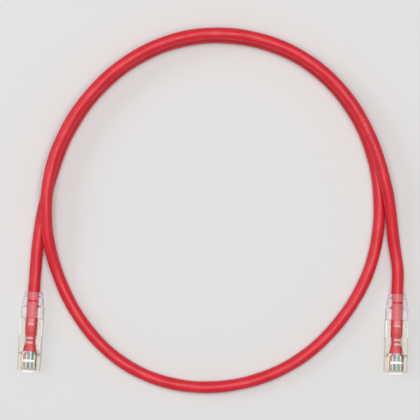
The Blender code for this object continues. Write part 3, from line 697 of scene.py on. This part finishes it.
def sweep(name, line, thickness, resolution):
    # a mesh tube from a bevelled curve, with one ring after another for the line's points
    curve = bpy.data.curves.new(name, "CURVE")
    curve.dimensions = "3D"
    curve.twist_mode = "Z_UP"
    curve.bevel_depth = thickness * mm
    curve.bevel_resolution = resolution
    spline = curve.splines.new("POLY")
    spline.points.add(len(line) - 1)
    for item, point in zip(spline.points, line):
        item.co = (*(Vector(point) * mm), 1.0)
    holder = bpy.data.objects.new(name, curve)
    bpy.context.scene.collection.objects.link(holder)
    graph = bpy.context.evaluated_depsgraph_get()
    mesh = bpy.data.meshes.new_from_object(holder.evaluated_get(graph))
    bpy.data.objects.remove(holder)
    mesh.name = name
    return mesh


def ringFrames(line):
    tangents = np.gradient(line, axis=0)
    tangents /= np.linalg.norm(tangents, axis=1)[:, None]
    across = np.cross(tangents, (0.0, 0.0, 1.0))
    across /= np.linalg.norm(across, axis=1)[:, None]
    return across, np.cross(across, tangents)


def addPlan(mesh, name, around, rings, lengths):
    # U runs along in metres and V once round, with the seam closed
    plan = mesh.uv_layers.new(name=name)
    ringOf = np.repeat(np.arange(rings), around)
    for face in mesh.polygons:
        turns = [(vertex % around) / around for vertex in face.vertices]
        wraps = max(turns) - min(turns) > 0.5
        for loop, vertex, turn in zip(face.loop_indices, face.vertices, turns):
            v = turn + 1 if wraps and turn < 0.5 else turn
            plan.data[loop].uv = (lengths[ringOf[vertex]], v)


def addObject(name, mesh, body, material, slot, *nodes):
    item = bpy.data.objects.new(name, mesh)
    bpy.context.scene.collection.objects.link(item)
    mesh.materials.clear()
    mesh.materials.append(material)
    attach(item, body)
    if nodes:
        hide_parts(*nodes)
    return item


def smoothShade(mesh, angle):
    mesh.shade_smooth()
    mesh.set_sharp_from_angle(angle=math.radians(angle))


def ringAngles(mesh, line):
    # where each vertex of a swept tube stands round its ring
    rings = len(line)
    around = len(mesh.vertices) // rings
    points = np.zeros(len(mesh.vertices) * 3)
    mesh.vertices.foreach_get("co", points)
    offsets = points.reshape(rings, around, 3) / mm - line[:, None]
    across, upward = ringFrames(line)
    angles = np.arctan2((offsets * upward[:, None]).sum(2), (offsets * across[:, None]).sum(2))
    return angles, across, upward, around


def placeRings(mesh, line, x, z, across, upward, lift=None):
    points = line[:, None] + x[..., None] * across[:, None] + z[..., None] * upward[:, None]
    if lift is not None:
        points[..., 2] += lift[:, None]
    mesh.vertices.foreach_set("co", (points * mm).astype(np.float32).ravel())


def closeEnds(mesh):
    form = bmesh.new()
    form.from_mesh(mesh)
    rims = [edge for edge in form.edges if edge.is_boundary]
    bmesh.ops.holes_fill(form, edges=rims, sides=0)
    bmesh.ops.recalc_face_normals(form, faces=form.faces)
    form.to_mesh(mesh)
    form.free()


def capsOf(form):
    return [face for face in form.faces if len(face.verts) > 4]


def insetCap(form, cap, thickness):
    bmesh.ops.inset_region(form, faces=[cap], thickness=thickness * mm, use_even_offset=True)


def openEnds(mesh):
    # the cut ends show the jacket's wall: each cap is inset and pushed in
    form = bmesh.new()
    form.from_mesh(mesh)
    for cap in capsOf(form):
        inward = -cap.normal.copy()
        insetCap(form, cap, cable["wallThickness"])
        made = bmesh.ops.extrude_discrete_faces(form, faces=[cap])["faces"][0]
        bmesh.ops.translate(form, verts=made.verts, vec=inward * cable["socketDepth"] * mm)
    bmesh.ops.recalc_face_normals(form, faces=form.faces)
    form.to_mesh(mesh)
    form.free()


def addJacket():
    line = jacketLine()
    mesh = sweep("cableJacket", line, radius, cable["bevelResolution"])
    angles, across, upward, around = ringAngles(mesh, line)
    lengths = lengthsOf(line)
    total = lengths[-1]

    # the ends take the crimped section, and the free run shows the twisted pairs under it
    stations = np.array(endShape)
    fromNose = stations[0, 0] + np.minimum(lengths, total - lengths)
    halfWidth, halfHeight, lift = (
        np.interp(fromNose, stations[:, 0], stations[:, i]) for i in (1, 2, 3)
    )
    free = np.clip((fromNose - cable["tail"]) / cable["pairFade"], 0.0, 1.0)
    turns = 2 * np.pi * lengths[:, None]
    lobeAngles = cable["pairs"] * (angles - turns / cable["pairPitch"])
    lobes = cable["pairHeight"] * np.cos(lobeAngles)
    twists = cable["twistHeight"] * np.sin(turns / cable["twistPitch"] + 2 * angles)
    dips = cable["pairHeight"] + cable["twistHeight"] - lobes - twists
    swell = 1 - free[:, None] * dips / radius
    x = halfWidth[:, None] * np.cos(angles) * swell
    z = halfHeight[:, None] * np.sin(angles) * swell
    placeRings(mesh, line, x, z, across, upward, lift)
    addPlan(mesh, "jacketPlan", around, len(line), lengths * mm)
    closeEnds(mesh)
    openEnds(mesh)
    smoothShade(mesh, cable["smoothAngle"])

    jacketLook["legendMiddle"] = legendPlace(line, lengths)
    nodes = ("cable_jacket", "left_jacket_end", "right_jacket_end")
    jacket = addObject("cableJacket", mesh, "cord", makeJacketRed(), "jacket_red", *nodes)
    return round(total * mm, 3)


def legendPlace(line, lengths):
    # the legend's middle is on the upper strand, above the crossing on the right
    near = np.linalg.norm(line[:, :2] - cable["legendPlace"], axis=1)
    near[line[:, 2] < cable["diameter"]] = np.inf
    return float(lengths[near.argmin()] * mm)


cableLength = addJacket()
print("stage: cable,", cableLength, "m of jacket")

# ---- plugs: sizes are in mm, x across, y back from the nose tip and z up
plug = {
    "edge": 0.09,  # how far a moulded edge is eased
    "contactEdge": 0.04,
    "housingEdge": 0.12,
    "mergeWithin": 0.003,
    "flatWithin": 1.0,  # angles are in degrees
    "smoothAngle": 35,
    "sharpAngle": 30,
    "crossAngle": 40,  # for an edge that runs across the housing
    "crossShare": 0.99,  # of an edge's run that lies across the plug
    "crossLength": 1.0,
    "contactPitch": 1.02,
    "wireDiameter": 0.98,
    "wireHeight": 4.0,
    "wireFront": 2.6,
    "wireBack": 13.4,
    "fanBack": 12.0,
    "fanLength": 3.6,
    "fanDelay": 1.4,
    "fanFlat": 0.8,
    "fanSteps": 28,
    "pairBeside": 1.63,  # in wire diameters
    "pairAbove": 1.53,
    "pairHalf": 0.53,
    "coreRadius": 0.26,
    "wireBevelResolution": 5,
    "wireEdge": 0.05,
}


def plugMatrix(side):
    (x, y), lean = cable["plugs"][side]
    place = Matrix.Translation(Vector((x, y, 0.0)) * mm)
    return place @ Matrix.Rotation(math.radians(-lean), 4, "Z")


def planFrom(mesh, side):
    # U and V are the plug's own millimetres, across and back from the nose
    plan = mesh.uv_layers.new(name="plugPlan")
    back = plugMatrix(side).inverted()
    for loop in mesh.loops:
        point = back @ mesh.vertices[loop.vertex_index].co / mm
        plan.data[loop.index].uv = (point.x, point.y)


def mergedCopy(nodeName, squareTo=None):
    form = bmesh.new()
    form.from_mesh(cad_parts[nodeName].data)
    if squareTo:
        bmesh.ops.transform(form, matrix=squareTo, verts=form.verts)
        for vert in form.verts:
            vert.co = [round(number, 6) for number in vert.co]  # to a thousandth of a mm
    bmesh.ops.remove_doubles(form, verts=form.verts, dist=plug["mergeWithin"] * mm)
    flat = math.radians(plug["flatWithin"])
    bmesh.ops.dissolve_limit(form, angle_limit=flat, verts=form.verts, edges=form.edges)
    return form


def easeEdges(form, chosen, width):
    bmesh.ops.bevel(
        form, geom=chosen, offset=width * mm, offset_type="OFFSET", segments=2, profile=0.5,
        affect="EDGES", material=-1, clamp_overlap=True,
    )


def sharpEdges(form, angle):
    least = math.radians(angle)
    return [edge for edge in form.edges if edge.is_manifold and edge.calc_face_angle() > least]


def finishForm(form, name):
    mesh = bpy.data.meshes.new(name)
    form.to_mesh(mesh)
    form.free()
    smoothShade(mesh, plug["smoothAngle"])
    return mesh


def addEased(side, node, name, body, material, slot, width):
    # a merged copy of a solid with its edges eased, as a moulding has them
    form = mergedCopy(f"{side}_{node}")
    easeEdges(form, sharpEdges(form, plug["sharpAngle"]), width)
    mesh = finishForm(form, name)
    planFrom(mesh, side)
    return addObject(side + name, mesh, body, material, slot, f"{side}_{node}")


def weighNormals(item):
    # flat faces stay flat to the eye beside their eased edges
    modifier = item.modifiers.new("weighNormals", "WEIGHTED_NORMAL")
    modifier.keep_sharp = True


def addHousing(side):
    # worked square to the axes, so that both plugs come out the same
    place = plugMatrix(side)
    form = mergedCopy(f"{side}_plug_body", place.inverted())
    crossing = []
    for edge in sharpEdges(form, plug["crossAngle"]):
        run = edge.verts[1].co - edge.verts[0].co
        others = [other for vert in edge.verts for other in vert.link_edges if other != edge]
        room = min(other.calc_length() for other in others)
        across = abs(run.x) > plug["crossShare"] * run.length
        longEnough = run.length > plug["crossLength"] * mm
        if across and longEnough and room > 2 * plug["housingEdge"] * mm:
            crossing.append(edge)
    easeEdges(form, crossing, plug["housingEdge"])
    bmesh.ops.triangulate(form, faces=form.faces, quad_method="BEAUTY", ngon_method="BEAUTY")
    bmesh.ops.transform(form, matrix=place, verts=form.verts)
    mesh = finishForm(form, "housing")
    planFrom(mesh, side)
    node = f"{side}_plug_body"
    item = addObject(side + "Housing", mesh, "cord", clearHousing, "clear_polycarbonate", node)
    weighNormals(item)
    return item


boot = {
    "front": 28.3,
    "tail": 41.5,
    "sleeve": 5.6,
    "segment": 4.2,
    "slots": (0.95, 0.65),
    "web": 2.3,
    "window": 1.15,
    "slotRounding": 0.28,
    "slotReach": (-1.0, 9.0),  # from below the boot to above it, and as far out
    "bore": 3.3,
    "boreSegments": 64,
    "boreDepth": 11.0,
    "boreMiddle": 4.0,  # in from the tail
    "cuff": (5.22, 0.95, 7.05, 32.85),  # half width, low, high and where it ends
    "cuffRounding": 0.35,
    "edge": 0.10,
    "rimAngle": 50,
    "skinShare": 0.9,
    "mergeWithin": 0.002,
    "around": 15,
    # from the nose tip: half width, half height, and how square the section is
    "sections": (
        (28.30, 5.62, 3.92, 7.0), (28.42, 5.73, 3.98, 7.0), (28.7, 5.76, 4.0, 7.0),
        (33.4, 5.76, 4.0, 7.0), (33.75, 5.70, 3.98, 6.5), (34.3, 5.46, 3.90, 6.0),
        (36.0, 5.25, 3.88, 5.5), (39.0, 4.90, 3.82, 5.0), (39.6, 4.75, 3.80, 4.6),
        (40.3, 4.68, 3.80, 4.4), (40.8, 4.50, 3.79, 4.2), (41.1, 4.30, 3.77, 4.0),
        (41.3, 4.10, 3.74, 3.8), (41.42, 3.95, 3.70, 3.6), (41.5, 3.82, 3.64, 3.4),
    ),
}


def squareRound(angles, power):
    # a circle that is pressed towards a square as the power grows from 2
    cosines, sines = np.cos(angles), np.sin(angles)
    reach = (np.abs(cosines) ** power + np.abs(sines) ** power) ** (-1 / power)
    return cosines * reach, sines * reach


def cutWith(item, cutter):
    modifier = item.modifiers.new("cut", "BOOLEAN")
    modifier.operation = "DIFFERENCE"
    modifier.solver = "EXACT"
    modifier.object = cutter
    graph = bpy.context.evaluated_depsgraph_get()
    mesh = bpy.data.meshes.new_from_object(item.evaluated_get(graph))
    item.modifiers.clear()
    item.data = mesh
    bpy.data.objects.remove(cutter)


def holdMesh(mesh):
    item = bpy.data.objects.new(mesh.name, mesh)
    bpy.context.scene.collection.objects.link(item)
    return item


def roundedBox(form, low, high, rounding, along):
    made = bmesh.ops.create_cube(form, size=1.0)["verts"]
    low, high = Vector(low), Vector(high)
    bmesh.ops.scale(form, verts=made, vec=high - low)
    bmesh.ops.translate(form, verts=made, vec=(low + high) / 2)
    axis, corners = "XYZ".index(along), set(made)
    chosen = []
    for edge in form.edges:
        run = edge.verts[1].co - edge.verts[0].co
        if edge.verts[0] in corners and abs(run[axis]) > 0.99 * run.length:
            chosen.append(edge)
    bmesh.ops.bevel(
        form, geom=chosen, offset=rounding, segments=4, profile=0.5, affect="EDGES", material=-1
    )


def cutterFrom(build, side):
    # build works in the plug's millimetres
    form = bmesh.new()
    build(form)
    bmesh.ops.transform(form, matrix=plugMatrix(side) @ Matrix.Scale(mm, 4), verts=form.verts)
    mesh = bpy.data.meshes.new("cutter")
    form.to_mesh(mesh)
    form.free()
    return holdMesh(mesh)


def bootRoom(form):
    half, low, high, end = boot["cuff"]
    start = boot["front"] - 1  # well past the front face
    roundedBox(form, (-half, start, low), (half, end, high), boot["cuffRounding"], "Y")


def bootBore(form):
    middle = Matrix.Translation((0.0, boot["tail"] - boot["boreMiddle"], cable["axisHeight"]))
    bmesh.ops.create_cone(
        form, cap_ends=True, segments=boot["boreSegments"], radius1=boot["bore"],
        radius2=boot["bore"], depth=boot["boreDepth"],
        matrix=middle @ Matrix.Rotation(math.pi / 2, 4, "X"),
    )


def bootSlots(form):
    # two slots in from each side, and a window right through between them
    start = boot["front"] + boot["sleeve"]
    below, reach = boot["slotReach"]
    second = boot["slots"][0] + boot["segment"]
    window = boot["slots"][0] + (boot["segment"] - boot["window"]) / 2
    cuts = []
    for width, offset in zip(boot["slots"], (0.0, second)):
        cuts += [(offset, width, -reach, -boot["web"]), (offset, width, boot["web"], reach)]
    cuts.append((window, boot["window"], -boot["web"], boot["web"]))
    for offset, width, low, high in cuts:
        near, far = start + offset, start + offset + width
        roundedBox(form, (low, near, below), (high, far, reach), boot["slotRounding"], "Z")


def addBoot(side):
    stations = np.array(boot["sections"])
    line = np.array([alongPlug(side, y, cable["axisHeight"]) for y in stations[:, 0]])
    mesh = sweep("boot", line, 1.0, boot["around"])
    angles, across, upward, _ = ringAngles(mesh, line)
    x, z = squareRound(angles, stations[:, 3:4])
    placeRings(mesh, line, x * stations[:, 1:2], z * stations[:, 2:3], across, upward)
    closeEnds(mesh)
    item = holdMesh(mesh)
    for build in (bootRoom, bootBore, bootSlots):
        cutWith(item, cutterFrom(build, side))
    form = bmesh.new()
    form.from_mesh(item.data)
    bpy.data.objects.remove(item)
    bmesh.ops.remove_doubles(form, verts=form.verts, dist=boot["mergeWithin"] * mm)
    back = plugMatrix(side).inverted()

    def onSkin(vert):
        point = back @ vert.co / mm
        half, tall, power = (
            np.interp(point.y, stations[:, 0], stations[:, i]) for i in (1, 2, 3)
        )
        up = point.z - cable["axisHeight"]
        return abs(point.x / half) ** power + abs(up / tall) ** power > boot["skinShare"]

    sharp = sharpEdges(form, boot["rimAngle"])
    rims = [edge for edge in sharp if all(onSkin(vert) for vert in edge.verts)]
    easeEdges(form, rims, boot["edge"])
    mesh = finishForm(form, "boot")
    planFrom(mesh, side)
    item = addObject(side + "Boot", mesh, "cord", milky, "milky_boot", f"{side}_boot")
    weighNormals(item)
    return item


def easedShare(value):
    value = min(max(value, 0.0), 1.0)
    return value * value * (3 - 2 * value)


def wireLine(side, pin):
    # from the separator to the front: it spreads to its pin first and then comes level
    diameter = plug["wireDiameter"]
    beside, above, half = (
        plug[name] * diameter for name in ("pairBeside", "pairAbove", "pairHalf")
    )
    startX = (-beside, -beside, -half, -half, half, half, beside, beside)[pin]
    startZ = (half, -half, -above, above, above, -above, -half, half)[pin]
    endX = (pin - 3.5) * plug["contactPitch"]
    fanFront = plug["fanBack"] - plug["fanLength"]
    levelBack = plug["fanBack"] - plug["fanDelay"]
    fan = np.linspace(plug["fanBack"], fanFront, plug["fanSteps"])
    startZ += cable["axisHeight"]
    line = []
    for y in (plug["wireBack"], *fan, plug["wireFront"]):
        spread = easedShare((plug["fanBack"] - y) / (plug["fanLength"] - plug["fanFlat"]))
        level = easedShare((levelBack - y) / (levelBack - fanFront))
        x = startX + (endX - startX) * spread
        line.append(alongPlug(side, y, startZ + (plug["wireHeight"] - startZ) * level, x))
    return np.array(line)


def addWire(side, pin):
    line = wireLine(side, pin)
    mesh = sweep("conductor", line, plug["wireDiameter"] / 2, plug["wireBevelResolution"])
    around = len(mesh.vertices) // len(line)
    addPlan(mesh, "wirePlan", around, len(line), lengthsOf(line) * mm)
    closeEnds(mesh)
    form = bmesh.new()
    form.from_mesh(mesh)
    for cap in capsOf(form):
        easeEdges(form, list(cap.edges), plug["wireEdge"])
    for cap in capsOf(form):
        insetCap(form, cap, plug["wireDiameter"] / 2 - plug["wireEdge"] - plug["coreRadius"])
        cap.material_index = 1
    mesh = finishForm(form, "conductor")
    name = f"{side}_conductor_{pin + 1}"
    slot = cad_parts[name].data.materials[0].name
    addObject(f"{side}Conductor{pin + 1}", mesh, "cord", wires[pin], slot, name)
    mesh.materials.append(copper)


for side in sides:
    clear, fine = "clear_polycarbonate", plug["contactEdge"]
    seeThrough = (
        addHousing(side),
        addBoot(side),
        addEased(side, "latch", "Latch", f"{side}_latch", clearLatch, clear, plug["edge"]),
        addEased(
            side, "snag_guard", "SnagGuard", f"{side}_snag_guard", clearGuard, clear, plug["edge"]
        ),
        addEased(side, "load_bar", "LoadBar", "cord", clearComb, clear, fine),
    )
    for item in seeThrough:
        item.visible_shadow = False  # light reaches what lies under and inside them
    addEased(
        side, "pair_separator", "PairSeparator", "cord", separatorWhite, "separator_white", fine
    )
    for pin in range(8):
        number = pin + 1
        addEased(
            side, f"contact_{number}", f"Contact{number}", "cord", gold, "gold_plate", fine
        )
        addWire(side, pin)
    print("stage:", side, "plug")
